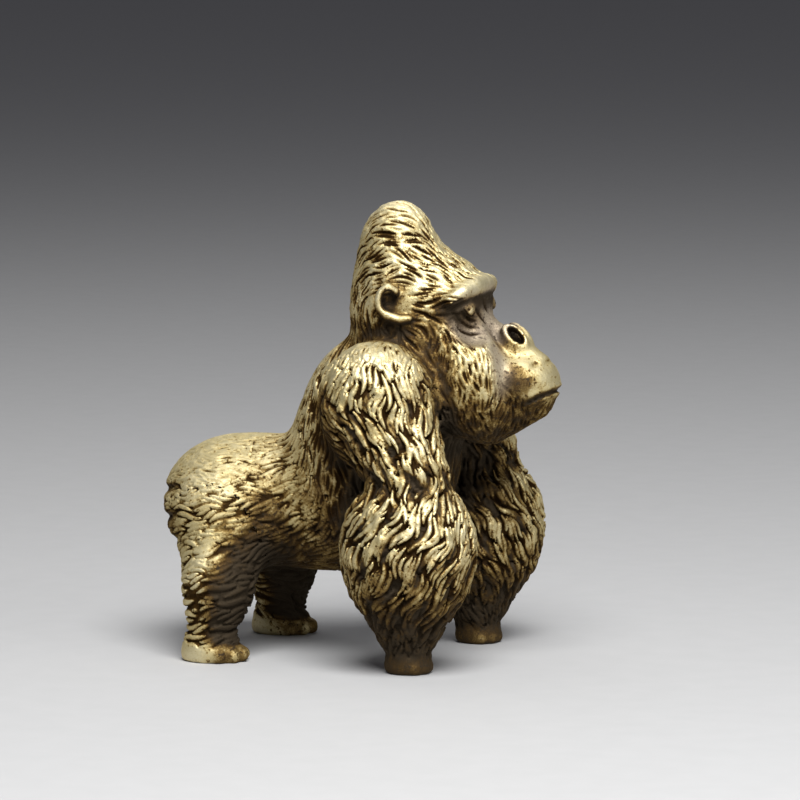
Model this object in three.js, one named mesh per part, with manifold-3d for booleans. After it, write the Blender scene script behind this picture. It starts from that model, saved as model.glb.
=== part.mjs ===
// A standing gorilla figurine in solid cast brass, made as six castings that meet at the neck,
// the shoulders and the hips. A brass dowel in a pair of sockets locates each joint.
// Millimetres. +X is the way the figure faces, +Y its left side, +Z up, and it stands on Z = 0.
import * as THREE from "three";
import { mergeVertices } from "three/addons/utils/BufferGeometryUtils.js";
import Module from "manifold-3d";

const wasm = await Module();
wasm.setup();

// Joints between the castings
const JOINT_GAP = 0.3;
const DOWEL_RADIUS = 1.2;
const DOWEL_CLEARANCE = 0.12;
const NECK_DOWEL_LENGTH = 9;
const SHOULDER_DOWEL_LENGTH = 7;
const HIP_DOWEL_LENGTH = 5;
const DOWEL_SIDES = 20;

// Stance
const HANDS_APART = 20.6;
const HANDS_FORWARD = 8.35;
const FEET_APART = 18.9;
const FEET_BACK = 12.3;

// Torso
const CHEST = { x: 1.1, z: 19.6, half: [8.6, 8.2, 11], lean: 8 };
const HUMP = { x: 0.8, z: 26.6, half: [4.6, 6, 4.6] };
const BELLY = { x: -4.2, z: 14.8, half: [9, 7.5, 6.7] };
const RUMP = { x: -13, z: 15, half: [7.7, 8.4, 6.3] };
const CHEST_BLEND = 3.5;
const BARREL_BLEND = 3.6;
const WITHERS_BLEND = 2;

// Arms
const SHOULDER = { x: 4.3, out: 7.8, z: 25.6, half: [5.7, 5.4, 6.2] };
const ELBOW_HEIGHT = 19.2;
const ELBOW_RADIUS = 3.9;
const UPPER_ARM_RADIUS = 5.2;
const FOREARM_HEIGHT = 12;
const FOREARM_HALF = [6.6, 6.5, 7.5];
const FOREARM_TAPER_HEIGHT = 8;
const FOREARM_TAPER_RADIUS = 5.6;
const WRIST_HEIGHT = 2;
const WRIST_RADIUS = 2.1;
const HAND_HALF = [2.3, 2.2, 1.2];
const ARM_BLEND = 1;
const HAND_BLEND = 0.8;

// Locks of fur down the arms. The swirl is in radians for each millimetre below its top.
const LOCK_COUNT = 18;
const LOCK_DEPTH = 0.5;
const LOCK_SWELL = 0.15;
const LOCK_ROUNDNESS = 0.75;
const LOCK_SWAY = 0.16;
const LOCK_SWAY_LENGTH = 6.5;
const LOCK_SWAY_LAG = 2;
const LOCK_SWAYS_ROUND = 2;
const LOCK_SWIRL = 0.085;
const LOCK_SWIRL_TOP = 18.5;
const CREASE_FADE_LENGTH = 5.5;
const CREASE_FADE_LEAST = 0.1;
const CREASES_IN_STEP = 3;
const LOCK_LOWEST = 2.5;
const LOCK_HIGHEST = 30;
const LOCK_ENDS = 4;

// The broken crease where the upper arm's locks hang over the forearm in tips
const ELBOW_CREASE = { z: 18.9, width: 0.5, depth: 0.4 };
const ELBOW_TIPS = 6;
const ELBOW_TIP_LENGTH = 0.8;

// Hind legs
const HIP = { x: -12.9, out: 5.2, z: 12.8, radius: 4.9 };
const KNEE = { x: -12.1, out: 8.6, z: 7.2, radius: 3.2 };
const ANKLE = { x: -12.6, out: FEET_APART / 2, z: 2.4, radius: 2.4 };
const FOOT_HALF = [3.1, 2.6, 1.6];
const FOOT_HEIGHT = 0.5;
const LEG_BLEND = 2;

// Head
const CREST = { x: 3.6, z: 39.4, half: [4, 3.9, 5.6] };
const CRANIUM = { x: 5, z: 34.3, half: [6.1, 6.2, 6.4] };
const FOREHEAD = { x: 8.4, z: 36, half: [4.1, 4.8, 3.3] };
const FACE = { x: 9.2, z: 32.4, half: [3.6, 4.3, 4.6] };
const CHEEK = { x: 11.8, out: 3.2, z: 27.6, half: [4.5, 3.5, 5.3] };
const NECK_TOP = { x: 6.2, z: 30, radius: 5.4 };
const NECK_BASE = { x: 3.2, z: 24, radius: 5.6 };
const CHIN = { x: 17.2, z: 26, radius: 2.35 };
const JAW = { x: 13, z: 24.2, radius: 2.9 };
const THROAT = { x: 10.4, z: 26 };
const SKULL_BLEND = 2.4;
const MUZZLE = { x: 16.2, z: 27.7, half: [3.95, 4, 2.85] };
const NOSE_WING = { x: 15.8, out: 0.8, z: 31.2, half: [1.2, 1, 1.6] };
const NOSE_RIDGE = [
  { x: 13, z: 32.9, radius: 0.9 },
  { x: 15.8, z: 31.3, radius: 0.9 },
  { x: 18.3, z: 29.3, radius: 0.9 },
];
const MUZZLE_BLEND = 1.1;
const EYE_SOCKET = { x: 13.2, out: 4.6, z: 33.8, half: [2, 2.1, 2.3] };
const SOCKET_BLEND = 0.8;
const BROW = [
  { x: 12.5, z: 37.1, radius: 0.8 },
  { x: 12.2, out: 2.2, z: 37, radius: 0.85 },
  { x: 11.6, out: 3.9, z: 36.5, radius: 0.78 },
  { x: 10.7, out: 5.2, z: 35.7, radius: 0.5 },
];
const BROW_BLEND = 0.6;
const EYE = { x: 11.6, out: 3.1, z: 34.8, half: [0.8, 0.8, 0.8] };
const NOSTRIL = { x: 16.05, out: 0.9, z: 32.1 };
const NOSTRIL_AXIS = { x: 0.72, z: -0.69 };
const NOSTRIL_FACING = { x: 0.35, out: 0.88, z: 0.365 };
const NOSTRIL_LONG = 1.25;
const NOSTRIL_SHORT = 0.72;
const NOSTRIL_RIM = 0.38;
const NOSTRIL_BORE = [1.05, 0.5, 1.3];
const MOUTH = { x: 20.2, z: 27, back: 17.2, fall: 25, width: 0.3, depth: 0.4 };
const EAR = { x: 5.3, out: 6, z: 35.4, half: [1.6, 1.2, 1.9] };
const EAR_HOLLOW = { x: 5.5, out: 7.2, z: 35.5, half: [1.1, 1.1, 1.3] };

// How finely each casting is faceted, as points around it and along it. The focus crowds the head's
// points towards the face.
const TORSO_GRID = [36, 34];
const HEAD_GRID = [44, 54];
const FACE_FOCUS = 0.6;
const ARM_GRID = [88, 44];
const ARM_ROOM_GRID = [24, 30];
const LEG_GRID = [24, 20];
const LUMP_GRID = [12, 8];
const RIM_GRID = [8, 20];

// How far and how finely a form's surface is looked for
const LONGEST_REACH = 60;
const REACH_STEP = 0.25;
const REACH_HALVINGS = 16;

const BRASS = new THREE.MeshStandardMaterial({ color: 0xa88f4e, roughness: 0.42, metalness: 1 });
const DOWEL_BRASS = new THREE.MeshStandardMaterial({ color: 0xc2a55c, roughness: 0.35, metalness: 1 });

const at = (x, y, z) => new THREE.Vector3(x, y, z);
const radians = THREE.MathUtils.degToRad;

// Forms. A form gives a point's distance from a surface, negative inside it.

// An ellipsoid, leaned forward about the Y axis by a number of degrees.
function lump(centre, half, lean = 0) {
  const [hx, hy, hz] = half;
  const cos = Math.cos(radians(lean));
  const sin = Math.sin(radians(lean));
  return (p) => {
    const dx = p.x - centre.x;
    const dz = p.z - centre.z;
    const x = (dx * cos - dz * sin) / hx;
    const y = (p.y - centre.y) / hy;
    const z = (dx * sin + dz * cos) / hz;
    const reach = Math.hypot(x, y, z);
    const slope = Math.hypot(x / hx, y / hy, z / hz);
    return slope > 0 ? (reach * (reach - 1)) / slope : -Math.min(hx, hy, hz);
  };
}

// A limb that tapers from one ball to another.
function limb(from, fromRadius, to, toRadius) {
  const axis = to.clone().sub(from);
  const length2 = axis.lengthSq();
  const offset = new THREE.Vector3();
  return (p) => {
    offset.copy(p).sub(from);
    const t = THREE.MathUtils.clamp(offset.dot(axis) / length2, 0, 1);
    const away = offset.addScaledVector(axis, -t).length();
    return away - THREE.MathUtils.lerp(fromRadius, toRadius, t);
  };
}

// A rounded strand through a row of balls.
function strand(balls, side) {
  const pieces = balls
    .slice(1)
    .map((ball, i) => limb(onSide(balls[i], side), balls[i].radius, onSide(ball, side), ball.radius));
  return (p) => Math.min(...pieces.map((piece) => piece(p)));
}

// Several forms run together, with a fillet of about the blend's size where they meet.
function melted(blend, ...forms) {
  const meet = (a, b) => {
    const near = Math.max(blend - Math.abs(a - b), 0) / blend;
    return Math.min(a, b) - (near * near * blend) / 4;
  };
  return (p) => forms.map((form) => form(p)).reduce(meet);
}

// A form with a hollow cut out of it, its edge rounded by the blend.
function carved(blend, form, hollow) {
  const left = melted(blend, (p) => -form(p), hollow);
  return (p) => -left(p);
}

// The distance along a ray from inside a form to its surface, grown outwards by an allowance.
function reachOf(form, origin, direction, grown = 0) {
  const point = new THREE.Vector3();
  const outside = (t) => form(point.copy(origin).addScaledVector(direction, t)) > grown;
  let far = REACH_STEP;
  while (!outside(far) && far < LONGEST_REACH) far += REACH_STEP;
  let near = far - REACH_STEP;
  for (let halving = 0; halving < REACH_HALVINGS; halving++) {
    const middle = (near + far) / 2;
    if (outside(middle)) far = middle;
    else near = middle;
  }
  return (near + far) / 2;
}

// Solids. The booleans work on closed meshes whose shared points are merged.

function solidOf(geometry) {
  const bare = geometry.clone();
  bare.deleteAttribute("normal");
  bare.deleteAttribute("uv");
  const merged = mergeVertices(bare, 1e-4);
  return new wasm.Manifold(
    new wasm.Mesh({
      numProp: 3,
      vertProperties: merged.getAttribute("position").array,
      triVerts: new Uint32Array(merged.index.array),
    }),
  );
}

function geometryOf(solid) {
  const mesh = solid.getMesh();
  const geometry = new THREE.BufferGeometry();
  geometry.setAttribute("position", new THREE.BufferAttribute(mesh.vertProperties, 3));
  geometry.setIndex(new THREE.BufferAttribute(mesh.triVerts, 1));
  geometry.computeVertexNormals();
  return geometry;
}

// A sphere's grid of points, strung along a spine and pushed out to the surface of a form.
// The first and last rows fan out over the ends of the spine, and the focus crowds the columns
// towards the front of a spine that runs down.
function skin(form, spine, [around, along], grown = 0, focus = 0) {
  const capRows = Math.round(along / 5);
  const geometry = new THREE.SphereGeometry(1, around, along);
  const points = geometry.getAttribute("position");
  const side = at(0, 1, 0);
  for (let row = 0; row <= along; row++) {
    const t = THREE.MathUtils.clamp((row - capRows) / (along - 2 * capRows), 0, 1);
    const origin = spine.getPoint(t);
    const forward = spine.getTangent(t);
    const up = side.clone().cross(forward).normalize();
    const across = forward.clone().cross(up).normalize();
    const early = Math.min(row / capRows, 1);
    const late = Math.min((along - row) / capRows, 1);
    const tilt = (Math.PI / 2) * (early - late);
    for (let column = 0; column <= around; column++) {
      const even = (2 * Math.PI * (column % around)) / around;
      const turn = even - focus * Math.cos(even);
      const direction = forward
        .clone()
        .multiplyScalar(Math.sin(tilt))
        .addScaledVector(across, Math.cos(tilt) * Math.cos(turn))
        .addScaledVector(up, Math.cos(tilt) * Math.sin(turn))
        .normalize();
      const surface = origin.addScaledVector(direction, reachOf(form, origin, direction, grown));
      points.setXYZ(row * (around + 1) + column, surface.x, surface.y, surface.z);
      origin.copy(spine.getPoint(t));
    }
  }
  return solidOf(geometry);
}

const spineThrough = (...points) => new THREE.CatmullRomCurve3(points);

// An ellipsoid as a solid, for what is added to or cut from a casting.
function lumpSolid(centre, half, lean = 0) {
  const geometry = new THREE.SphereGeometry(1, ...LUMP_GRID)
    .scale(...half)
    .rotateY(radians(lean))
    .translate(centre.x, centre.y, centre.z);
  return solidOf(geometry);
}

// Both sides of the figure, the right one first.
const SIDES = [-1, 1];
const onSide = (place, side) => at(place.x, side * (place.out ?? 0), place.z);
const middle = (place) => onSide(place, 0);

// The torso: the chest with its hump, running into the barrel of belly and rump.
const torsoForm = melted(
  WITHERS_BLEND,
  melted(CHEST_BLEND, lump(middle(CHEST), CHEST.half, CHEST.lean), lump(middle(HUMP), HUMP.half)),
  melted(BARREL_BLEND, lump(middle(BELLY), BELLY.half), lump(middle(RUMP), RUMP.half)),
);
const torsoSpine = spineThrough(middle(RUMP), middle(BELLY), middle(CHEST), middle(HUMP));
const torsoSkin = skin(torsoForm, torsoSpine, TORSO_GRID);
const torsoRoom = skin(torsoForm, torsoSpine, TORSO_GRID, JOINT_GAP);

// Everything below the ground is cut away, so that the hands and feet stand on flat faces.
const groundSize = 4 * HANDS_APART;
const ground = solidOf(new THREE.BoxGeometry(groundSize, groundSize, groundSize).translate(0, 0, -groundSize / 2));

// The right arm: shoulder, upper arm, the swollen forearm and a small hand.
const handPlace = at(HANDS_FORWARD, -HANDS_APART / 2, 0);
const overHand = (height) => handPlace.clone().setZ(height);
const shoulderPlace = onSide(SHOULDER, -1);
const elbowPlace = overHand(ELBOW_HEIGHT);

// Angle of a point round the arm's middle line, 0 straight ahead and a quarter turn outwards.
function angleRoundArm(p) {
  const rise = (p.z - ELBOW_HEIGHT) / (SHOULDER.z - ELBOW_HEIGHT);
  const axis = elbowPlace.clone().lerp(shoulderPlace, THREE.MathUtils.clamp(rise, 0, 1));
  return Math.atan2(axis.y - p.y, p.x - axis.x);
}

// How deep the crease between two locks is at a point of the arm, from 0 on a lock's back to 1.
// The locks sway on their way down and swirl below the elbow, and each crease fades in and out.
function lockCrease(p) {
  const { lerp, smoothstep } = THREE.MathUtils;
  const wave = (turns) => Math.sin(2 * Math.PI * turns);
  const angle = angleRoundArm(p);
  const swirl = LOCK_SWIRL * Math.max(LOCK_SWIRL_TOP - p.z, 0);
  const lag = (LOCK_SWAY_LAG * Math.sin(LOCK_SWAYS_ROUND * angle + 1)) / (2 * Math.PI);
  const sway = LOCK_SWAY * wave(p.z / LOCK_SWAY_LENGTH + lag);
  const locks = (LOCK_COUNT * (angle - swirl)) / (2 * Math.PI) + sway;
  const crease = Math.round(locks);
  const back = Math.sin(Math.PI * Math.abs(locks - crease)) ** LOCK_ROUNDNESS;
  const fade = (1 + wave(p.z / CREASE_FADE_LENGTH + crease / CREASES_IN_STEP)) / 2;
  const low = smoothstep(p.z, LOCK_LOWEST, LOCK_LOWEST + LOCK_ENDS);
  const high = 1 - smoothstep(p.z, LOCK_HIGHEST - LOCK_ENDS, LOCK_HIGHEST);
  return low * high * lerp(CREASE_FADE_LEAST, 1, fade) * (1 - back);
}

// The same for the crease at the elbow, which is deepest along one side of each tip.
function elbowCrease(p) {
  const tip = ELBOW_TIPS * angleRoundArm(p);
  const away = p.z - ELBOW_CREASE.z - ELBOW_TIP_LENGTH * Math.sin(tip);
  return ((1 + Math.cos(tip)) / 2) * Math.exp(-((away / ELBOW_CREASE.width) ** 2));
}

const bareArm = melted(
  ARM_BLEND,
  lump(shoulderPlace, SHOULDER.half),
  limb(shoulderPlace, UPPER_ARM_RADIUS, elbowPlace, ELBOW_RADIUS),
  lump(overHand(FOREARM_HEIGHT), FOREARM_HALF),
  limb(overHand(FOREARM_TAPER_HEIGHT), FOREARM_TAPER_RADIUS, overHand(WRIST_HEIGHT), WRIST_RADIUS),
);
const armForm = melted(
  HAND_BLEND,
  (p) => bareArm(p) + LOCK_DEPTH * lockCrease(p) + ELBOW_CREASE.depth * elbowCrease(p) - LOCK_SWELL,
  lump(overHand(HAND_HALF[2] / 2), HAND_HALF),
);
const armSpine = spineThrough(shoulderPlace, elbowPlace, overHand(FOREARM_HEIGHT), handPlace);
const armSkin = skin(armForm, armSpine, ARM_GRID);
const armRoom = skin(bareArm, armSpine, ARM_ROOM_GRID, LOCK_SWELL + JOINT_GAP);

// The right hind leg: thigh, shin and foot.
const footPlace = at(-FEET_BACK, -FEET_APART / 2, FOOT_HEIGHT);
const hipPlace = onSide(HIP, -1);
const kneePlace = onSide(KNEE, -1);
const anklePlace = onSide(ANKLE, -1);
const legForm = melted(
  LEG_BLEND,
  limb(hipPlace, HIP.radius, kneePlace, KNEE.radius),
  limb(kneePlace, KNEE.radius, anklePlace, ANKLE.radius),
  lump(footPlace, FOOT_HALF),
);
const legSkin = skin(legForm, spineThrough(hipPlace, kneePlace, anklePlace, footPlace), LEG_GRID);

// The head: skull with its crest, brow, face, muzzle, jaw and neck, given for the right side.
const skullForm = melted(
  SKULL_BLEND,
  lump(middle(CREST), CREST.half),
  lump(middle(CRANIUM), CRANIUM.half),
  lump(middle(FOREHEAD), FOREHEAD.half),
  lump(middle(FACE), FACE.half),
  lump(onSide(CHEEK, -1), CHEEK.half),
  limb(middle(NECK_TOP), NECK_TOP.radius, middle(NECK_BASE), NECK_BASE.radius),
  limb(middle(CHIN), CHIN.radius, middle(JAW), JAW.radius),
);
const muzzledForm = melted(
  MUZZLE_BLEND,
  skullForm,
  lump(middle(MUZZLE), MUZZLE.half),
  lump(onSide(NOSE_WING, -1), NOSE_WING.half),
  strand(NOSE_RIDGE, -1),
);
const socketedForm = carved(SOCKET_BLEND, muzzledForm, lump(onSide(EYE_SOCKET, -1), EYE_SOCKET.half));
const halfHead = melted(BROW_BLEND, socketedForm, strand(BROW, -1));
const headForm = (p) => halfHead(at(p.x, -Math.abs(p.y), p.z));
const headSpine = spineThrough(middle(CREST), middle(CRANIUM), middle(THROAT));

// An ear, a lump with its outer side hollowed.
function ear(side) {
  const hollow = lumpSolid(onSide(EAR_HOLLOW, side), EAR_HOLLOW.half);
  return lumpSolid(onSide(EAR, side), EAR.half).subtract(hollow);
}

// A shape laid on a nostril, with its X along the oval's long axis and its Z the way the nostril faces.
function onNostril(geometry, side) {
  const facing = onSide(NOSTRIL_FACING, side).normalize();
  const long = middle(NOSTRIL_AXIS).normalize();
  const frame = new THREE.Matrix4().makeBasis(long, facing.clone().cross(long), facing);
  return solidOf(geometry.applyMatrix4(frame.setPosition(onSide(NOSTRIL, side))));
}

function nostrilRim(side) {
  const ring = new THREE.TorusGeometry(NOSTRIL_LONG, NOSTRIL_RIM, ...RIM_GRID);
  return onNostril(ring.scale(1, NOSTRIL_SHORT / NOSTRIL_LONG, 1), side);
}

function nostrilBore(side) {
  return onNostril(new THREE.SphereGeometry(1, ...LUMP_GRID).scale(...NOSTRIL_BORE), side);
}

// The mouth, a slit as deep as the lips that runs back and down round the front of the muzzle.
function mouthSlit() {
  const length = 2 * (MOUTH.x - MOUTH.back);
  const slab = new THREE.BoxGeometry(length, 4 * MUZZLE.half[1], MOUTH.width)
    .rotateY(-radians(MOUTH.fall))
    .translate(MOUTH.x, 0, MOUTH.z);
  return solidOf(slab).subtract(skin(headForm, headSpine, HEAD_GRID, -MOUTH.depth, FACE_FOCUS));
}

const eye = (side) => lumpSolid(onSide(EYE, side), EYE.half);
const bareHead = skin(headForm, headSpine, HEAD_GRID, 0, FACE_FOCUS);
const features = [ear, eye, nostrilRim].flatMap((make) => SIDES.map(make));
const featuredHead = features.reduce((solid, feature) => solid.add(feature), bareHead);
const headHollows = [mouthSlit(), ...SIDES.map(nostrilBore)];
const headSkin = headHollows.reduce((solid, hollow) => solid.subtract(hollow), featuredHead);

// Dowels. Each is centred where its joint crosses the dowel's line.
function dowelAt(inside, towards, length) {
  const direction = towards.clone().sub(inside).normalize();
  const toJoint = reachOf(torsoForm, inside, direction, JOINT_GAP / 2);
  const centre = inside.clone().addScaledVector(direction, toJoint);
  const turn = new THREE.Quaternion().setFromUnitVectors(at(0, 1, 0), direction);
  const rod = (extra) =>
    new THREE.CylinderGeometry(DOWEL_RADIUS + extra, DOWEL_RADIUS + extra, length + 2 * extra, DOWEL_SIDES)
      .applyQuaternion(turn)
      .translate(centre.x, centre.y, centre.z);
  return { pin: rod(0), socket: solidOf(rod(DOWEL_CLEARANCE)) };
}

const inMiddle = (place) => place.clone().setY(0);
const neckDowel = dowelAt(middle(CHEST), middle(CRANIUM), NECK_DOWEL_LENGTH);
const shoulderDowel = dowelAt(inMiddle(shoulderPlace), shoulderPlace, SHOULDER_DOWEL_LENGTH);
const hipDowel = dowelAt(inMiddle(hipPlace), kneePlace, HIP_DOWEL_LENGTH);

// The castings, cut clear of each other and bored for the dowels.
const mirrored = (solid) => solid.mirror([0, 1, 0]);
const withBoth = (solid) => [solid, mirrored(solid)];
const cutBy = (solid, ...cutters) => cutters.reduce((left, cutter) => left.subtract(cutter), solid);

const torso = cutBy(
  torsoSkin,
  neckDowel.socket,
  ...withBoth(shoulderDowel.socket),
  ...withBoth(hipDowel.socket),
);
const rightArm = cutBy(armSkin, torsoRoom, ground, shoulderDowel.socket);
const rightLeg = cutBy(legSkin, torsoRoom, ground, hipDowel.socket);
const head = cutBy(headSkin, torsoRoom, ...withBoth(armRoom), neckDowel.socket);

// The figure, with its origin on the ground under the middle of its length.
const figure = new THREE.Group();

function addPiece(name, geometry, material, mirror = false) {
  const mesh = new THREE.Mesh(geometry, material);
  mesh.name = name;
  if (mirror) mesh.scale.y = -1;
  figure.add(mesh);
}

const rightArmGeometry = geometryOf(rightArm);
const rightLegGeometry = geometryOf(rightLeg);
addPiece("torso", geometryOf(torso), BRASS);
addPiece("head", geometryOf(head), BRASS);
addPiece("neck_dowel", neckDowel.pin, DOWEL_BRASS);
for (const [side, mirror] of [["right", false], ["left", true]]) {
  addPiece(`${side}_arm`, rightArmGeometry, BRASS, mirror);
  addPiece(`${side}_leg`, rightLegGeometry, BRASS, mirror);
  addPiece(`${side}_shoulder_dowel`, shoulderDowel.pin, DOWEL_BRASS, mirror);
  addPiece(`${side}_hip_dowel`, hipDowel.pin, DOWEL_BRASS, mirror);
}

const box = new THREE.Box3().setFromObject(figure);
figure.position.x = -(box.min.x + box.max.x) / 2;

export default figure;
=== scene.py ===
"""A small cast-brass gorilla, sculpted as one blended form and shared out to its six castings."""
import functools
import math

import bpy
import numpy as np
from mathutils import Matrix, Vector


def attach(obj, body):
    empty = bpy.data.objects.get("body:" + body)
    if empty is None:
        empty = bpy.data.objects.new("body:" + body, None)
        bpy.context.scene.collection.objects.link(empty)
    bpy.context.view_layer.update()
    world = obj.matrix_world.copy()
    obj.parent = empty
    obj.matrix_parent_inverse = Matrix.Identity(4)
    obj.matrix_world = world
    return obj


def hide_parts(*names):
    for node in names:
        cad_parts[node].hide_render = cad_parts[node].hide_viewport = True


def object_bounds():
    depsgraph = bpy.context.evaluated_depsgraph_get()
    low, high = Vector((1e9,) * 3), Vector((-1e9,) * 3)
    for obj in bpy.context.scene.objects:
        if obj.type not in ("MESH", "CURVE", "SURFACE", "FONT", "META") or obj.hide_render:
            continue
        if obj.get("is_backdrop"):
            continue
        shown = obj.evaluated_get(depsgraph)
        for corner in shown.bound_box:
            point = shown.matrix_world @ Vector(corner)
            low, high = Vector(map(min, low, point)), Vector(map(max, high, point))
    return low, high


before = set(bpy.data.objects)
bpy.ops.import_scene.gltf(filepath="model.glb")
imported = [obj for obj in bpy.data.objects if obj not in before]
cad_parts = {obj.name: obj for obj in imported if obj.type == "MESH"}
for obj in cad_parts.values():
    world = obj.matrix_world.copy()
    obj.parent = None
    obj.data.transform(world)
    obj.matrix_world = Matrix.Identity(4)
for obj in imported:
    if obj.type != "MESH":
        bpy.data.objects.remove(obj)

import openvdb
from mathutils import Vector

CAD_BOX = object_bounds()

# Lengths of the sculpture are in millimetres: X forward, Z up, and "out" away from the middle plane.
# A pair named _X, _Z, _ZONE or _EDGE gives where something starts and where it is whole.
MM = 0.001
ORIGIN_SHIFT = 0.28
SCULPT_PITCH = 0.265
COARSE_STEP = 4
MARGIN_CELLS = 3
NEAR_BLOCKS = 1.5
LEAST_STEEPNESS = 0.1

# Smallest divisors, against a division by zero
LEAST_LENGTH = 1e-4
LEAST_SLOPE = 1e-6

# Torso
CHEST = dict(at=(1.1, 0, 19.6), half=(8.6, 8.2, 11), lean=8)
HUMP = dict(at=(0.8, 0, 26.6), half=(4.6, 6, 4.6))
BELLY = dict(at=(-4.2, 0, 14.8), half=(9, 7.5, 6.7))
RUMP = dict(at=(-13.0, 0, 15), half=(7.7, 8.4, 6.3))
BARREL_BLEND = 3.6
CHEST_BLEND = 3.5
WITHERS_BLEND = 2.0
FOLD_LEVELS = (16.9, 14.2, 11.8)
FOLD_SLANT = 0.25
FOLD_FRONT = -15.6
FOLD_DEPTH = 0.45
FOLD_WIDTH = 0.42
FOLD_FADE = 2.5

# Arms
SHOULDER = dict(at=(4.3, 7.8, 25.6), half=(5.7, 5.4, 6.2))
FOREARM_X = 8.35
FOREARM_OUT = 10.3
ELBOW = (FOREARM_X, FOREARM_OUT, 19.2)
FOREARM = dict(at=(FOREARM_X, FOREARM_OUT, 12.0), half=(6.6, 6.5, 7.5))
FOREARM_TAPER = (FOREARM_X, FOREARM_OUT, 8)
WRIST = (FOREARM_X, FOREARM_OUT, 2)
HAND = dict(at=(FOREARM_X, FOREARM_OUT, 0.6), half=(2.3, 2.2, 1.2))
UPPER_ARM_RADIUS = 5.2
ELBOW_RADIUS = 3.9
TAPER_RADIUS = 5.6
WRIST_RADIUS = 2.1
KNUCKLES = dict(angles=(-62, -24, 14, 52), reach=(1.8, 1.8), height=0.55, radius=0.62, blend=0.35)
ARM_BLEND = 1.0
HAND_BLEND = 0.8

# Locks of fur down the arms. The swirl is in radians for each millimetre below its top.
LOCK_COUNT = 18
LOCK_DEPTH = 0.5
LOCK_SWELL = 0.15
LOCK_ROUNDNESS = 0.75
LOCK_SWAY = 0.16
LOCK_SWAY_LENGTH = 6.5
LOCK_SWAY_LAG = 2.0
LOCK_SWAYS_ROUND = 2
LOCK_SWAY_START = 1
LOCK_SWIRL = 0.085
LOCK_SWIRL_TOP = 18.5
CREASE_FADE_LENGTH = 5.5
CREASE_FADE_LEAST = 0.1
CREASES_IN_STEP = 3
LOCK_LOWEST = 2.5
LOCK_HIGHEST = 30.0
LOCK_ENDS = 4.0

# The broken crease where the upper arm's locks hang over the forearm in tips
ELBOW_CREASE_DEPTH = 0.4
ELBOW_CREASE_WIDTH = 0.5
ELBOW_CREASE_HEIGHT = 18.9
ELBOW_TIPS = 6
ELBOW_TIP_LENGTH = 0.8

# Hind legs
HIP = (-12.9, 5.2, 12.8)
KNEE = (-12.1, 8.6, 7.2)
FOOT_OUT = 9.45
ANKLE = (-12.6, FOOT_OUT, 2.4)
HIP_RADIUS = 4.9
KNEE_RADIUS = 3.2
ANKLE_RADIUS = 2.4
FOOT = dict(at=(-12.3, FOOT_OUT, 0.5), half=(3.1, 2.6, 1.6))
TOES = dict(angles=(-58, -28, 2, 32, 62), reach=(3.0, 2.4), height=0.65, radius=0.7, blend=0.25)
LEG_BLEND = 2

# Head
CREST = dict(at=(3.6, 0, 39.4), half=(4.0, 3.9, 5.6))
CRANIUM = dict(at=(5.0, 0, 34.3), half=(6.1, 6.2, 6.4))
FOREHEAD = dict(at=(8.4, 0, 36), half=(4.1, 4.8, 3.3))
FACE = dict(at=(9.2, 0, 32.4), half=(3.6, 4.3, 4.6))
CHEEK = dict(at=(11.8, 3.2, 27.6), half=(4.5, 3.5, 5.3))
MUZZLE = dict(at=(16.2, 0, 27.7), half=(3.95, 4.0, 2.85))
NOSE_WING = dict(at=(15.8, 0.8, 31.2), half=(1.2, 1.0, 1.6))
NOSE_RIDGE = ((13.0, 0, 32.9), (15.8, 0, 31.3), (18.3, 0, 29.3))
NOSE_RIDGE_RADIUS = 0.9
CHIN = (17.2, 0, 26)
JAW = (13.0, 0, 24.2)
CHIN_RADIUS = 2.35
JAW_RADIUS = 2.9
NECK_TOP = (6.2, 0, 30)
NECK_BASE = (3.2, 0, 24)
NECK_TOP_RADIUS = 5.4
NECK_BASE_RADIUS = 5.6
SKULL_BLEND = 2.4
MUZZLE_BLEND = 1.1
BROW = ((12.5, 0, 37.1), (12.2, 2.2, 37.0), (11.6, 3.9, 36.5), (10.7, 5.2, 35.7))
BROW_RADII = (0.8, 0.85, 0.78, 0.5)
BROW_BLEND = 0.9
SOCKET = dict(at=(13.2, 4.6, 33.8), half=(2.0, 2.1, 2.3))
SOCKET_BLEND = 0.8
EYE = (11.9, 3.15, 34.75)
EYE_RADIUS = 0.72
EYE_BLEND = 0.15
UPPER_LID = ((12.4, 1.8, 34.8), (12.1, 3.2, 35.4), (11.2, 4.3, 34.7))
LID_RADIUS = 0.3
LID_BLEND = 0.2
EYE_CREASES = (
    ((11.8, 4.1, 35.0), (12.0, 3.6, 34.4), (12.25, 2.6, 34.2), (12.4, 2.4, 34.5)),
    ((11.6, 4.3, 34.7), (11.7, 3.5, 34.1), (12.15, 2.7, 33.7), (12.6, 2.3, 33.6)),
    ((11.15, 4.2, 34.2), (11.45, 3.5, 33.6), (12.0, 3.0, 33.1), (12.8, 2.5, 33.0)),
    ((11.05, 4.4, 33.5), (11.5, 3.9, 32.75), (12.25, 3.3, 32.4), (13.2, 2.7, 32.5)),
    ((12.5, 2.5, 35.0), (12.6, 2.15, 34.4), (13.0, 1.6, 33.6), (13.4, 1.3, 33.1)),
    ((12.75, 1.2, 35.7), (12.9, 0.9, 34.9), (13.15, 0.3, 34.2)),
    ((12.2, 3.75, 35.0), (12.35, 3.75, 34.7)),
)
CREASE_WIDTH = 0.31
CREASE_DEPTH = 0.45
CREASE_POINTS = 4
NOSTRIL = (16.05, 0.9, 32.1)
NOSTRIL_AXIS = (0.72, 0, -0.69)
NOSTRIL_FACING = (0.35, 0.88, 0.365)
NOSTRIL_LONG = 1.25
NOSTRIL_SHORT = 0.72
NOSTRIL_RIM = 0.32
NOSTRIL_RIM_SWELL = 0.3
NOSTRIL_RIM_SPREAD = 0.75
NOSTRIL_RIM_BLEND = 0.25
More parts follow.
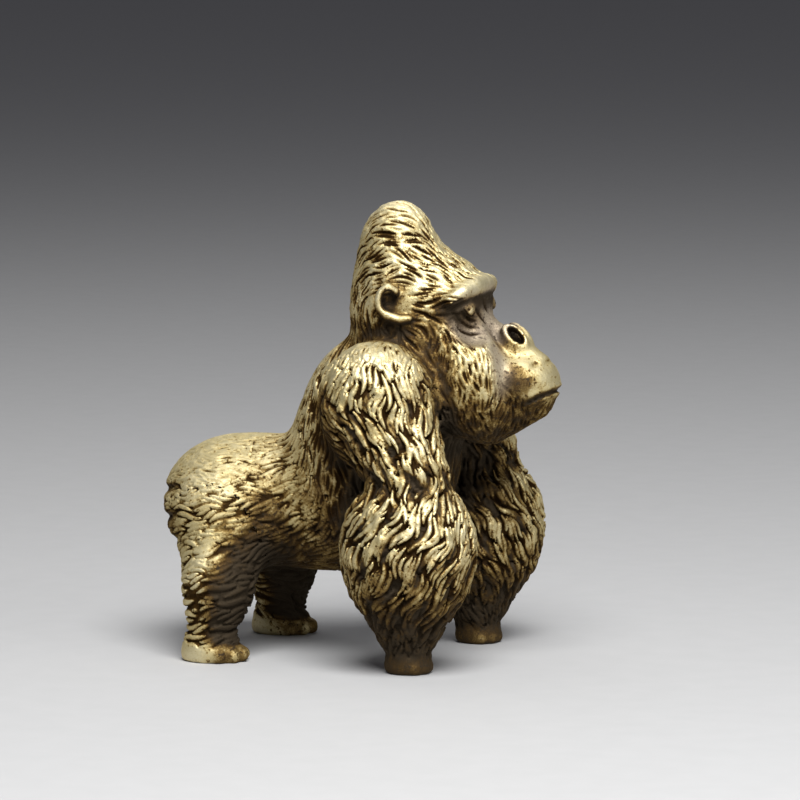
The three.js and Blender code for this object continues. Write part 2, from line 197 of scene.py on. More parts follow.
NOSTRIL_BORE = dict(at=(0, 0, 0), half=(1.05, 0.5, 1.3))
NOSTRIL_BORE_BLEND = 0.15
MOUTH_TIP = (20.2, 27.0)
MOUTH_FALL = 0.47
MOUTH_BACK = 17.2
MOUTH_FADE = 1.2
LIP_GROOVE = 0.15
LIP_DEPTH = 0.34
LIP_SWELL = 0.16
LIP_RISE = 2.6 * LIP_GROOVE
LIP_WIDTH = 0.3
MUZZLE_FOLD = ((15.2, 3.6, 31.2), (15.9, 4.4, 29), (16.0, 4.6, 26.8))
MUZZLE_FOLD_DEPTH = 0.35
MUZZLE_FOLD_WIDTH = 1.1
MUZZLE_PITS = ((18.35, 29.5), (19.3, 29.7))
PIT_RADIUS = 0.24
PIT_DEPTH = 0.3
EAR_RIM = (
    (5.5, 6.3, 36.6), (4.95, 6.7, 36.95), (4.4, 6.9, 36.6), (4.1, 7.05, 35.9),
    (4.25, 7.0, 35.0), (5.0, 6.85, 34.25), (6.1, 6.6, 33.9), (7.0, 6.25, 34.0),
)
EAR_RADII = (0.44, 0.52, 0.47, 0.43, 0.43, 0.47, 0.48, 0.36)
EAR_BLEND = 0.4
EAR_HOLE = dict(at=(5.0, 6.9, 35.8), half=(0.62, 1.4, 0.95))
EAR_HOLE_BLEND = 0.3

# How the castings run into each other
NECK_MELT = 2.0
SHOULDER_MELT = 1.3
HIP_MELT = 3.0
CASTING_BLEND = 1.6
EARLIER_CASTING_LEAD = 0.01

# Bare skin, without fur
EYE_HOLLOW = dict(at=(12.9, 3.4, 33.8), half=(2.6, 2.3, 2.7))
BRIDGE_HOLLOW = dict(at=(13.4, 0, 33.8), half=(2.4, 3.0, 3.2))
MUZZLE_HOLLOW_RADII = (1.0, 0.6, 0.2)
BARE_NOSE_RADIUS = 2.2
BARE_MUZZLE = dict(at=(17.6, 0, 28.4), half=(4.3, 4.6, 2.9))
BARE_EAR = dict(at=(6.0, 6.6, 35.5), half=(1.7, 1.4, 1.5))
BARE_RIM = 0.1
BARE_LIP = 0.8
BARE_LIP_END = 0.2
BARE_EDGE = (0.5, -0.1)
BARE_SOLE_Z = (2.0, 1.1)

# Fur, carved as strokes: half length, room to the next stroke, half width, depth, and whether the
# strokes stand up as locks with crevices between them (1) or are cut in (0), in each zone
STROKES = {
    "crown": (1.4, 0.25, 0.38, 0.37, 0),
    "nape": (2.0, 0.25, 0.38, 0.36, 0),
    "cheek": (0.9, 0.21, 0.30, 0.28, 0),
    "shoulder": (0.8, 0.27, 0.25, 0.2, 0),
    "lock": (2.2, 0.34, 0.37, 0.52, 1),
    "wrist": (1.4, 0.32, 0.32, 0.42, 1),
    "mane": (1.7, 0.28, 0.43, 0.48, 0),
    "rump": (0.8, 0.22, 0.32, 0.2, 0),
    "flank": (1.3, 0.31, 0.25, 0.25, 1),
    "shin": (1.6, 0.44, 0.30, 0.34, 1),
}

# Borders of those zones
NAPE_X = (3.5, 0.5)
CHEEK_X = (7, 9.5)
CHEEK_Z = (34.5, 32)
SHOULDER_Z = (28.0, 30.5)
WRIST_Z = (6.5, 3.5)
RUMP_X = (-8, -12)
RUMP_Z = (15, 18)
THIGH_Z = (7.5, 10.5)

# How the strokes are drawn: least and most of their chance sizes and pressures, then how they end,
# how far they are followed, and the cells in which they keep their room
STROKE_SIZES = (0.65, 1.4)
STROKE_PRESSURES = (0.6, 1.2)
STROKE_OVERRUN = 2
SHALLOWEST_STROKE = 0.03
FULL_DEPTH = 0.45
STROKE_TAPER = 0.7
STROKE_ROUNDNESS = 0.55
STROKE_MARGIN = 2.0
STROKE_STEP = 0.25
TRAIL_STEPS = 10
TRAIL_STEEPNESS = 0.2
LEAST_SHARES = (0.9, 0.3)
STROKE_TRIES = 60_000
STROKE_SEED = 5
ROOM_CELL = 0.08

# Which way the fur is combed: its sway in radians, and the rise of each zone in degrees
SWAY = 0.6
SWAY_WAVES = ((1.5, 0.7, 0.6), (-0.8, 1.3, 1.6), (1.4, -1.4, 2.4))
SKULL_CENTRE = (5.0, 33.0)
BROW_TIP = (15.0, 37.0)
FORELOCK_X = (4.5, 8.5)
CHEEK_COMB_X = (6, 9)
CHEEK_COMB_Z = (35.2, 32.5)
CHEEK_COMB_LEAN = 0.2
MANE_EDGE = (-1.8, 15)
MANE_SLOPE = 2
MANE_ZONE = (-1.0, 1.5)
FLANK_COMB_X = (-13, -4)
RUMP_COMB_DEGREES = -8
FLANK_COMB_DEGREES = 44
MANE_COMB_DEGREES = 60
LEG_COMB_RISE = 0.25
LEG_COMB_CORE = 0.5

# Lumps under the fur, and how high they are on each casting
PEBBLE_SIZE = 1.2
PEBBLE_HEIGHT = 0.6
TORSO_RELIEF = 0.15
HEAD_RELIEF = 0.5
LEG_RELIEF = 0.25
SHOULDER_RELIEF_Z = (27, 30)
SHOULDER_SMOOTHNESS = 0.55

# Patina on the brass with painted shade: in hollows and creases patina together with painted shade, and
# painted shade below and where the figure hides the sky
# Patina in hollows, together with painted ambient-occlusion shade where the figure shuts a point in
RECESS_PATINA_AND_SHADE = 0.6
RECESS_REACHES = ((0.7, 0.3), (1.6, 0.35), (3.6, 0.35))
# Painted shade below and where the figure hides the sky from a point
SHELTER_SHADE = 0.65
SKY_LEANS = ((0, 0), (0.8, 0), (-0.8, 0), (0, 0.8), (0, -0.8))
SKY_REACHES = (1.5, 4, 9)
SKY_START = 0.3
SKY_WIDTH = 0.4
SKY_HORIZON = 0.5
# Patina and painted shade in the creases between the arm's locks and in the crease at the elbow
LOCK_CREASE_PATINA_AND_SHADE = 0.25
LOCK_CREASE_PATINA_AND_SHADE_EDGE = (0.4, 1)
ELBOW_PATINA_AND_SHADE = 0.3
SHIN_Z = (14, 8)
REAR_X = (-5, -9)
ANYWHERE = (-1000, -999)

# Where the colour is made darker or lighter: the casting, how much, and the zone along X and Z
ZONE_DARKENING = {
    # Painted shade, darker towards the bottom of the forearm
    "wrist": ("arm", 0.3, ANYWHERE, (9, 2.5)),
    # Darker at the back of the upper arm
    "back of the upper arm": ("arm", 0.22, (2, -0.5), (29.5, 26.5)),
    # Painted shadow on the front of the shin, which faces the belly
    "front of the shin": ("leg", 0.6, (-12.6, -10.4), SHIN_Z),
    # Painted light on the back of the shin
    "painted light on the back of the shin": ("leg", -0.22, (-11.6, -13.8), SHIN_Z),
    # Darker towards the back of the thigh and rump
    "thigh": ("leg", 0.05, REAR_X, ANYWHERE),
    "rump": ("torso", 0.14, REAR_X, ANYWHERE),
}

# Stain on the muzzle, painted shadow below the brow, painted highlights on the brow and eyeball, and
# what hands rub off the face, hands and feet
MUZZLE_STAIN = dict(at=(17.4, 3.4, 28.3), half=(1.2, 1.4, 0.9))
STAIN_FILM = 0.35
STAIN_EDGE = (1.0, -0.4)
# Painted shadow below the brow, over the eye
BROW_SHADE = 0.4
BROW_SHADE_FALL = (-0.4, 0, 1.3)
BROW_SHADE_EDGE = (0.7, -0.3)
# Less film on the brow: wear, together with a painted highlight
BROW_RUBBED_AND_LIT = 0.6
BROW_EDGE = (0.3, -0.1)
# Less film on the eyeball: wear and a painted highlight; EYE_LIT takes the brow's painted shadow off it
EYE_RUBBED_AND_LIT = 0.3
EYE_LIT = 0.6
EYE_EDGE = (0.5, 0)
FOOT_RUBBED = 0.52
HAND_RUBBED = 0.12
RUBBED_SOLE_Z = (2.4, 1.4)
HOLLOW_EDGE = (1.0, -0.6)
NEAR_EYE_ZONE = (2.6, 0.8)
NEAR_EYE_RUBBED = 0.75

# How dark the strokes are, 1 being black
CREST_INK = 0.6
CREST_Z = (41.5, 44)
FLANK_INK = 0.6
LEG_INK = 0.65

# Aged brass: its patterns' scale for each metre and detail, its linear colours, and how they mix
GRAIN = (7000.0, 3.0)
SPECKS = (2600.0, 2.0)
BLOTCHES = (700.0, 3.0)
TONE = (190.0, 2.0)
BLOTCH_FILM = 0.7
SPECK_FILM = 0.3
SPECK_EDGE = (0.56, 0.72)
GRAIN_FILM = 0.35
GROOVE_LEAST = 0.35
GROOVE_ZONE = (0.1, 0.9)
INK_EDGE = (0.45, 0.85)
INK_EDGE_SHARE = 0.6
# How far patina, strokes and painted shade add up before the brass is at its darkest
FULLY_AGED_AND_SHADED = 1.1
BRASS_COLOURS = (
    (0.0, (0.70, 0.63, 0.41)), (0.30, (0.52, 0.435, 0.23)), (0.52, (0.23, 0.155, 0.055)),
    (0.74, (0.075, 0.040, 0.010)), (1.0, (0.020, 0.009, 0.002)),
)
WHITE = (1, 1, 1, 1)
BRASS_TINT = (0.9, 0.88, 0.8, 1)
TINT_EDGE = (0.35, 0.65)
GREY_FILM = ((0.50, 0.43, 0.35, 1), (0.025, 0.017, 0.010, 1))
GREY_SHARE = 0.75
# Dark dust colour where patina and painted shade are heaviest, so it deepens the painted shade too
DUST_AND_SHADE = (0.050, 0.042, 0.030, 1)
DUST_AND_SHADE_EDGE = (0.45, 1.0)
DUST_AND_SHADE_SHARE = 0.55
FILM_METALLIC = 0.35
WORN_METALLIC = 0.6
FILM_ROUGHNESS = 0.9
INK_POLISH = 0.24
WORN_POLISH = 0.12
GRAIN_ROUGHNESS = 0.25
SHEEN = 0.12
SHEEN_TINT = (1.0, 0.8, 0.5, 1.0)
SPECK_PITS = 1.5
PIT_STRENGTH = 0.5
PIT_HEIGHT = 0.00006

# Turned brass of the dowels
ROD_COLOURS = ((0.62, 0.48, 0.20, 1), (0.72, 0.58, 0.28, 1))
ROD_MARKS = (6000.0, 2.0)
ROD_ROUGHNESS = 0.25
ROD_MARK_ROUGHNESS = 0.2

# The studio: each light's place, size and power, in metres and watts
STUDIO_LIGHTS = {
    "key_light": ((0.12, -0.22, 0.36), 0.30, 3.6),
    "rim_light": ((-0.10, 0.16, 0.40), 0.40, 0.35),
    "fill_light": ((0.34, -0.10, 0.16), 0.20, 0.25),
}
AIR_COLOUR = (0.09, 0.09, 0.10, 1)
FLOOR_REACH = 2.0
FLOOR_COLOURS = ((0.40, 0.40, 0.40, 1), (0.43, 0.43, 0.43, 1))
FLOOR_SPECKS = (300.0, 2.0)
FLOOR_ROUGHNESS = 0.7

# The photograph's view
VIEW_AZIMUTH = 20.0
VIEW_ELEVATION = 6.5
VIEW_DISTANCE = 0.55
VIEW_WIDTH = 0.0787
VIEW_TARGET = (0.00403, 0.0, 0.0253)
NEAREST_SEEN = 0.01
SENSOR_WIDTH = 36.0


# Distances to forms, for points given as rows of x, out and z

def lump(points, at, half, lean=0):
    """Distance to an ellipsoid that leans forward by a number of degrees."""
    turn = math.radians(lean)
    local = points - np.float32(at)
    x = local[:, 0] * math.cos(turn) - local[:, 2] * math.sin(turn)
    z = local[:, 0] * math.sin(turn) + local[:, 2] * math.cos(turn)
    scaled = np.stack((x, local[:, 1], z), axis=1) / np.float32(half)
    reach = np.linalg.norm(scaled, axis=1)
    slope = np.linalg.norm(scaled / np.float32(half), axis=1)
    return reach * (reach - 1) / np.maximum(slope, LEAST_SLOPE)


def ball(points, at, radius):
    """Distance to a ball."""
    return np.linalg.norm(points - np.float32(at), axis=1) - radius


def limb(points, start, start_radius, end, end_radius):
    """Distance to a limb that tapers from one ball to another."""
    axis = np.float32(end) - np.float32(start)
    local = points - np.float32(start)
    along = np.clip(local @ axis / (axis @ axis), 0, 1)
    away = np.linalg.norm(local - along[:, None] * axis, axis=1)
    return away - (start_radius + (end_radius - start_radius) * along)


def strand(points, path, radii):
    """Distance to a rounded strand along a path."""
    pieces = zip(path, radii, path[1:], radii[1:])
    return np.minimum.reduce([limb(points, *piece) for piece in pieces])


def melt(blend, *fields):
    """Fields run together with a fillet of about the blend's size."""
    total = fields[0]
    for field in fields[1:]:
        near = np.maximum(blend - np.abs(total - field), 0) / blend
        total = np.minimum(total, field) - near * near * blend / 4
    return total


def carve(blend, field, hollow):
    """A field with a hollow cut out of it, its edge rounded by the blend."""
    return -melt(blend, -field, hollow)


def dent(away, width):
    """1 in the middle of a groove, falling away to its sides."""
    return np.exp(-((away / width) ** 2))


def smooth_step(low, high, value):
    """Rises smoothly from 0 to 1 as the value goes from low to high, which may be the smaller."""
    share = np.clip((value - low) / (high - low), 0, 1)
    return share * share * (3 - 2 * share)


def unit(vector):
    vector = np.float32(vector)
    return vector / np.linalg.norm(vector)


def unit_rows(vectors):
    return vectors / np.maximum(np.linalg.norm(vectors, axis=1, keepdims=True), LEAST_LENGTH)


def blended(share, first, second):
    """Rows between two others, by a share for each row."""
    return first * (1 - share[:, None]) + second * share[:, None]


def torso_form(points):
    chest = melt(CHEST_BLEND, lump(points, **CHEST), lump(points, **HUMP))
    barrel = melt(BARREL_BLEND, lump(points, **BELLY), lump(points, **RUMP))
    return melt(WITHERS_BLEND, chest, barrel) + rump_folds(points)


def rump_folds(points):
    """The depth of the creases round the back of the rump and thighs."""
    x, height = points[:, 0], points[:, 2]
    depth = 0
    for level in FOLD_LEVELS:
        away = height - level - FOLD_SLANT * (x - FOLD_FRONT)
        depth = depth + FOLD_DEPTH * dent(away, FOLD_WIDTH)
    return depth * smooth_step(FOLD_FRONT, FOLD_FRONT - FOLD_FADE, x)


def with_digits(points, field, middle, angles, reach, height, radius, blend):
    """Adds toes or knuckles round a foot or hand, 0 degrees being straight ahead and 90 outwards."""
    for angle in angles:
        turn = math.radians(angle)
        tip = (middle[0] + reach[0] * math.cos(turn), middle[1] + reach[1] * math.sin(turn), height)
        field = melt(blend, field, ball(points, tip, radius))
    return field


def round_the_arm(points):
    """Angle round the arm's middle line, 0 straight ahead and a quarter turn outwards."""
    rise = (points[:, 2] - ELBOW[2]) / (SHOULDER["at"][2] - ELBOW[2])
    middle = blended(np.clip(rise, 0, 1), np.float32([ELBOW]), np.float32([SHOULDER["at"]]))
    local = points - middle
    return np.arctan2(local[:, 1], local[:, 0])


def locks_round(points):
    """How many locks lie between straight ahead and each point, going round the arm."""
    angle, height = round_the_arm(points), points[:, 2]
    swirl = LOCK_SWIRL * np.maximum(LOCK_SWIRL_TOP - height, 0)
    lag = LOCK_SWAY_LAG * np.sin(LOCK_SWAYS_ROUND * angle + LOCK_SWAY_START)
    sway = LOCK_SWAY * np.sin(2 * math.pi * height / LOCK_SWAY_LENGTH + lag)
    return LOCK_COUNT * (angle - swirl) / (2 * math.pi) + sway


def lock_crease(points):
    """1 in the creases between the arm's locks, 0 on their backs. Each crease fades in and out."""
    height = points[:, 2]
    locks = locks_round(points)
    crease = np.rint(locks)
    back = np.sin(math.pi * np.abs(locks - crease)) ** LOCK_ROUNDNESS
    fade = (1 + np.sin(2 * math.pi * (height / CREASE_FADE_LENGTH + crease / CREASES_IN_STEP))) / 2
    low = smooth_step(LOCK_LOWEST, LOCK_LOWEST + LOCK_ENDS, height)
    high = smooth_step(LOCK_HIGHEST, LOCK_HIGHEST - LOCK_ENDS, height)
    return low * high * (CREASE_FADE_LEAST + (1 - CREASE_FADE_LEAST) * fade) * (1 - back)


def elbow_crease(points):
    """1 in the crease at the elbow, which is deepest along one side of each tip, 0 away from it."""
    tip = ELBOW_TIPS * round_the_arm(points)
    away = points[:, 2] - ELBOW_CREASE_HEIGHT - ELBOW_TIP_LENGTH * np.sin(tip)
    return (1 + np.cos(tip)) / 2 * dent(away, ELBOW_CREASE_WIDTH)


def arm_form(points):
    arm = melt(
        ARM_BLEND,
        lump(points, **SHOULDER),
        limb(points, SHOULDER["at"], UPPER_ARM_RADIUS, ELBOW, ELBOW_RADIUS),
        lump(points, **FOREARM),
        limb(points, FOREARM_TAPER, TAPER_RADIUS, WRIST, WRIST_RADIUS),
    )
    arm = arm + LOCK_DEPTH * lock_crease(points)
    arm = arm + ELBOW_CREASE_DEPTH * elbow_crease(points) - LOCK_SWELL
    arm = melt(HAND_BLEND, arm, lump(points, **HAND))
    arm = with_digits(points, arm, HAND["at"], **KNUCKLES)
    return np.maximum(arm, -points[:, 2])


def leg_form(points):
    leg = melt(
        LEG_BLEND,
        limb(points, HIP, HIP_RADIUS, KNEE, KNEE_RADIUS) + rump_folds(points),
        limb(points, KNEE, KNEE_RADIUS, ANKLE, ANKLE_RADIUS),
        lump(points, **FOOT),
    )
    leg = with_digits(points, leg, FOOT["at"], **TOES)
    return np.maximum(leg, -points[:, 2])


def nostril_frame(points):
    """Places along a nostril's long axis, its short axis and the way it faces."""
    long_axis = unit(NOSTRIL_AXIS)
    facing = unit(NOSTRIL_FACING)
    short_axis = np.cross(facing, long_axis)
    local = points - np.float32(NOSTRIL)
    return local @ long_axis, local @ short_axis, local @ facing


def head_form(points):
    skull = melt(
        SKULL_BLEND,
        lump(points, **CREST),
        lump(points, **CRANIUM),
        lump(points, **FOREHEAD),
        lump(points, **FACE),
        lump(points, **CHEEK),
        limb(points, NECK_TOP, NECK_TOP_RADIUS, NECK_BASE, NECK_BASE_RADIUS),
        limb(points, CHIN, CHIN_RADIUS, JAW, JAW_RADIUS),
    )
    ridge = strand(points, NOSE_RIDGE, [NOSE_RIDGE_RADIUS] * len(NOSE_RIDGE))
    head = melt(MUZZLE_BLEND, skull, lump(points, **MUZZLE), lump(points, **NOSE_WING), ridge)
    fold = strand(points, MUZZLE_FOLD, [0] * len(MUZZLE_FOLD))
    head = head + MUZZLE_FOLD_DEPTH * dent(fold, MUZZLE_FOLD_WIDTH)
    head = carve(SOCKET_BLEND, head, lump(points, **SOCKET))
    head = melt(BROW_BLEND, head, strand(points, BROW, BROW_RADII))
    head = with_eye(points, head)
    head = with_nostril(points, head)
    head = with_mouth(points, head)
    head = melt(EAR_BLEND, head, strand(points, EAR_RIM, EAR_RADII))
    return carve(EAR_HOLE_BLEND, head, lump(points, **EAR_HOLE))


def mouth_line(points):
    """Height above the mouth's line, and how far the line is cut there."""
    x, height = points[:, 0], points[:, 2]
    above = height - (MOUTH_TIP[1] - MOUTH_FALL * (MOUTH_TIP[0] - x))
    return above, smooth_step(MOUTH_BACK, MOUTH_BACK + MOUTH_FADE, x)


def with_mouth(points, head):
    """Cuts the mouth between its swollen lips, and the pits above it."""
    above, shown = mouth_line(points)
    head = head + shown * LIP_DEPTH * dent(above, LIP_GROOVE)
    head = head - shown * LIP_SWELL * dent(np.abs(above) - LIP_RISE, LIP_WIDTH)
    for x, height in MUZZLE_PITS:
        away = np.hypot(points[:, 0] - x, points[:, 2] - height)
        head = head + PIT_DEPTH * dent(away, PIT_RADIUS)
    return head


def with_eye(points, head):
    """Adds the eyeball and the lid over it."""
    head = melt(EYE_BLEND, head, ball(points, EYE, EYE_RADIUS))
    return melt(LID_BLEND, head, strand(points, UPPER_LID, [LID_RADIUS] * len(UPPER_LID)))


def with_nostril(points, head):
    """Adds the nostril's oval rim, thickest behind, and bores it."""
    long, short, facing = nostril_frame(points)
    oval = np.hypot(long, short * NOSTRIL_LONG / NOSTRIL_SHORT) - NOSTRIL_LONG
    thickness = NOSTRIL_RIM * (1 + NOSTRIL_RIM_SWELL * np.clip(short / NOSTRIL_SHORT, -1, 1))
    head = melt(NOSTRIL_RIM_BLEND, head, np.hypot(oval * NOSTRIL_RIM_SPREAD, facing) - thickness)
    places = np.stack((long, short, facing), axis=1)
    return carve(NOSTRIL_BORE_BLEND, head, lump(places, **NOSTRIL_BORE))


def castings(points):
    """The fields of the torso, head, arm and leg at points with x, out and z."""
    return torso_form(points), head_form(points), arm_form(points), leg_form(points)


def folded(points):
    """Places in the frame as x, out and z of the forms, as the figure's two sides mirror each other."""
    sides = points.astype(np.float32)
    sides[:, 0] -= ORIGIN_SHIFT
    sides[:, 1] = np.abs(sides[:, 1])
    return sides


def figure_form(points):
    """Distance to the whole figure."""
    torso, head, arm, leg = castings(folded(points))
    body = melt(NECK_MELT, torso, head)
    body = melt(HIP_MELT, body, leg)
    return melt(SHOULDER_MELT, body, arm)


def in_parts(function, points, size=150_000):
    """A function of many points, worked out a part at a time."""
    return np.concatenate([function(points[i:i + size]) for i in range(0, len(points), size)])


# Sculpting: the figure's field on a grid, then its surface

def lattice(low, counts, pitch):
    axes = [low[i] + pitch * np.arange(counts[i], dtype=np.float32) for i in range(3)]
    return np.stack(np.meshgrid(*axes, indexing="ij"), axis=-1)


def sculpted_surface():
    """Points and four-sided faces on the figure's surface, in millimetres."""
    margin = MARGIN_CELLS * SCULPT_PITCH
    low = np.float32(CAD_BOX[0]) / MM - margin
    high = np.float32(CAD_BOX[1]) / MM + margin
    block = SCULPT_PITCH * COARSE_STEP
    blocks = np.ceil((high - low) / block).astype(int)
    centres = lattice(low + (COARSE_STEP - 1) * SCULPT_PITCH / 2, blocks, block)
    coarse = in_parts(figure_form, centres.reshape(-1, 3)).reshape(blocks)
    values = np.repeat(np.repeat(np.repeat(coarse, COARSE_STEP, 0), COARSE_STEP, 1), COARSE_STEP, 2)
    near = np.abs(values) < NEAR_BLOCKS * block
    places = lattice(low, values.shape, SCULPT_PITCH)
    values[near] = in_parts(figure_form, places[near])
    grid = openvdb.FloatGrid(float(values.max()))
    grid.copyFromArray(np.ascontiguousarray(values))
    points, quads = grid.convertToQuads(0.0)
    return low + points.astype(np.float32) * SCULPT_PITCH, quads


def slope_of(points, step=0.03):
    """The figure's field at points, and the direction in which it grows fastest."""
    corners = np.float32([[1, -1, -1], [-1, -1, 1], [-1, 1, -1], [1, 1, 1]])
    fields = np.stack([in_parts(figure_form, points + step * corner) for corner in corners], axis=1)
    return fields.mean(1), fields @ corners / (4 * step)


def onto_surface(points, rounds=2):
    """Points moved onto the surface, with their outward normals."""
    for _ in range(rounds):
        distance, slope = slope_of(points)
        steep = np.maximum((slope ** 2).sum(1), LEAST_STEEPNESS)
        move = np.clip(distance / steep, -SCULPT_PITCH / 2, SCULPT_PITCH / 2)
        points = points - move[:, None] * slope
    slope = slope_of(points)[1]
    return points, slope / np.linalg.norm(slope, axis=1, keepdims=True)


def recess_of(points, normals):
    """How shut in each point is, from 0 in the open to about 1 in a crease."""
    shut = np.zeros(len(points), np.float32)
    for reach, weight in RECESS_REACHES:
        room = in_parts(figure_form, points + reach * normals) / reach
        shut += weight * np.clip(1 - room, 0, 1)
    return shut


def shelter_of(points, normals):
    """How much of the sky the figure hides from each point, from 0 on top to 1 underneath."""
    hidden = np.zeros(len(points), np.float32)
    for x, y in SKY_LEANS:
        upward = unit((x, y, 1))
        blocked = np.clip(SKY_HORIZON - normals @ upward, 0, 1)
        for reach in SKY_REACHES:
            seen_from = points + SKY_START * normals + reach * upward
            room = in_parts(figure_form, seen_from) / (SKY_WIDTH * reach)
            blocked = np.maximum(blocked, np.clip(1 - room, 0, 1))
        hidden += blocked / len(SKY_LEANS)
    return hidden


def zone_darkening(points, shares):
    """How much darker each zone is made: patina and painted shade in the creases of the arms, painted
    shade on the wrist and the front of the shin, painted light on the back of the shin, and darker
    towards the back on the upper arm, thigh and rump.
    """
    locks = LOCK_CREASE_PATINA_AND_SHADE * smooth_step(*LOCK_CREASE_PATINA_AND_SHADE_EDGE, lock_crease(points))
    film_and_shade = shares["arm"] * (locks + ELBOW_PATINA_AND_SHADE * elbow_crease(points))
    for casting, amount, along, up in ZONE_DARKENING.values():
        zone = smooth_step(*along, points[:, 0]) * smooth_step(*up, points[:, 2])
        film_and_shade = film_and_shade + amount * shares[casting] * zone
    return film_and_shade


def patina_and_shade_of(points, normals):
    """How dark each point's colour is made: patina with painted shade in hollows and creases, painted
    shade below, under the brow and in zones made darker or lighter, less where hands rub, and painted
    highlights on the brow and eyeball.
    """
    sides = folded(points)
    shares = dict(zip(("torso", "head", "arm", "leg"), shares_of(castings(sides))))
    head = shares["head"]
    # Patina with painted shade in hollows, and painted shade below and where the sky is hidden
    film_and_shade = RECESS_PATINA_AND_SHADE * recess_of(points, normals) + SHELTER_SHADE * shelter_of(points, normals)
    film_and_shade = film_and_shade + zone_darkening(sides, shares)
    film_and_shade = film_and_shade + STAIN_FILM * head * smooth_step(*STAIN_EDGE, lump(sides, **MUZZLE_STAIN))
    soles = FOOT_RUBBED * shares["leg"] + HAND_RUBBED * shares["arm"]
    soles = soles * smooth_step(*RUBBED_SOLE_Z, sides[:, 2])
    brow = head * smooth_step(*BROW_EDGE, bare_brow(sides))
    eyeball = smooth_step(*EYE_EDGE, ball(sides, EYE, EYE_RADIUS))
    # Wear on the feet and hands, and wear with a painted highlight on the brow and eyeball
    rubbed_and_lit = (1 - soles - BROW_RUBBED_AND_LIT * brow) * (1 - EYE_RUBBED_AND_LIT * eyeball)
    # Painted shadow below the brow
    below_brow = strand(sides + np.float32(BROW_SHADE_FALL), BROW, BROW_RADII)
    shade = BROW_SHADE * head * smooth_step(*BROW_SHADE_EDGE, below_brow)
    return film_and_shade * rubbed_and_lit + shade * (1 - brow) * (1 - EYE_LIT * eyeball)


# Where the fur lies, which way it is combed and how deep it is cut

def shares_of(fields):
    """How far each point belongs to each casting, adding up to 1."""
    fade = CASTING_BLEND / 3
    weights = np.exp(-(np.stack(fields, axis=1) - np.min(fields, axis=0)[:, None]) / fade)
    return (weights / weights.sum(1, keepdims=True)).T


def head_comb(points):
    """Round the skull's outline at the back, towards the brow in front, and down the cheeks."""
    x, height = points[:, 0], points[:, 2]
    level = 0 * x
    outline = np.stack((height - SKULL_CENTRE[1], level, SKULL_CENTRE[0] - x), axis=1)
    to_brow = np.stack((BROW_TIP[0] - x, level, BROW_TIP[1] - height), axis=1)
    hanging = np.stack((CHEEK_COMB_LEAN + level, level, level - 1), axis=1)
    swept = blended(smooth_step(*FORELOCK_X, x), unit_rows(outline), unit_rows(to_brow))
    low = smooth_step(*CHEEK_COMB_Z, height) * smooth_step(*CHEEK_COMB_X, x)
    return blended(low, swept, hanging)


def arm_comb(points, step=0.05):
    """Down the arm, along its locks."""
    angle = round_the_arm(points)
    ring = np.stack((-np.sin(angle), np.cos(angle), 0 * angle), axis=1)
    upward = np.float32([[0, 0, 1]])
    half_way = LOCK_COUNT / 2
    grown = [locks_round(points + step * way) - locks_round(points) for way in (ring, upward)]
    round_growth, up_growth = [(growth + half_way) % LOCK_COUNT - half_way for growth in grown]
    return unit_rows(ring * up_growth[:, None] - upward * round_growth[:, None])


def mane_share(points):
    """1 on the upper back and behind the arm, where long locks hang, 0 on the flank and rump."""
    ahead = points[:, 0] - MANE_EDGE[0] + (points[:, 2] - MANE_EDGE[1]) / MANE_SLOPE
    return smooth_step(*MANE_ZONE, ahead)


def torso_comb(points):
    """Level over the rump, rising along the flank and upright in the mane."""
    flank = smooth_step(*FLANK_COMB_X, points[:, 0])
    degrees = RUMP_COMB_DEGREES + FLANK_COMB_DEGREES * flank + MANE_COMB_DEGREES * mane_share(points)
    turn = np.radians(degrees)
    return np.stack((np.cos(turn), 0 * turn, np.sin(turn)), axis=1)


def leg_comb(points):
    """Round the leg, as wrinkles."""
    lean = smooth_step(ANKLE[2], HIP[2], points[:, 2])
    local = points - blended(lean, np.float32([ANKLE]), np.float32([HIP]))
    ring = np.stack((local[:, 1], -local[:, 0]), axis=1)
    ring = ring / np.maximum(np.linalg.norm(ring, axis=1, keepdims=True), LEG_COMB_CORE)
    return np.stack((ring[:, 0], ring[:, 1], np.full(len(points), LEG_COMB_RISE)), axis=1)


def combed(points):
    """Which way the fur lies at points on the figure, before it is laid on the surface."""
    sides = folded(points)
    torso, head, arm, leg = shares_of(castings(sides))
    combs = ((torso, torso_comb), (head, head_comb), (arm, arm_comb), (leg, leg_comb))
    comb = sum(share[:, None] * make(sides) for share, make in combs)
    comb[:, 1] *= np.where(points[:, 1] < 0, -1, 1)
    return comb


def hollow_face(points):
    """Distance to the bare hollow round the eyes and down between the cheek and the muzzle."""
    eyes = lump(points, **EYE_HOLLOW)
    bridge = lump(points, **BRIDGE_HOLLOW)
    beside_muzzle = strand(points, MUZZLE_FOLD, MUZZLE_HOLLOW_RADII)
    return np.minimum.reduce([eyes, bridge, beside_muzzle])


def hollow_of(points):
    """How far the grey film of the face's hollow shows, which is least close to the eyes."""
    near_eye = smooth_step(*NEAR_EYE_ZONE, ball(points, EYE, 0))
    return smooth_step(*HOLLOW_EDGE, hollow_face(points)) * (1 - NEAR_EYE_RUBBED * near_eye)


def bare_brow(points):
    """Distance to the brow as far as it is bare."""
    return strand(points, BROW[:-1], BROW_RADII[:-1])


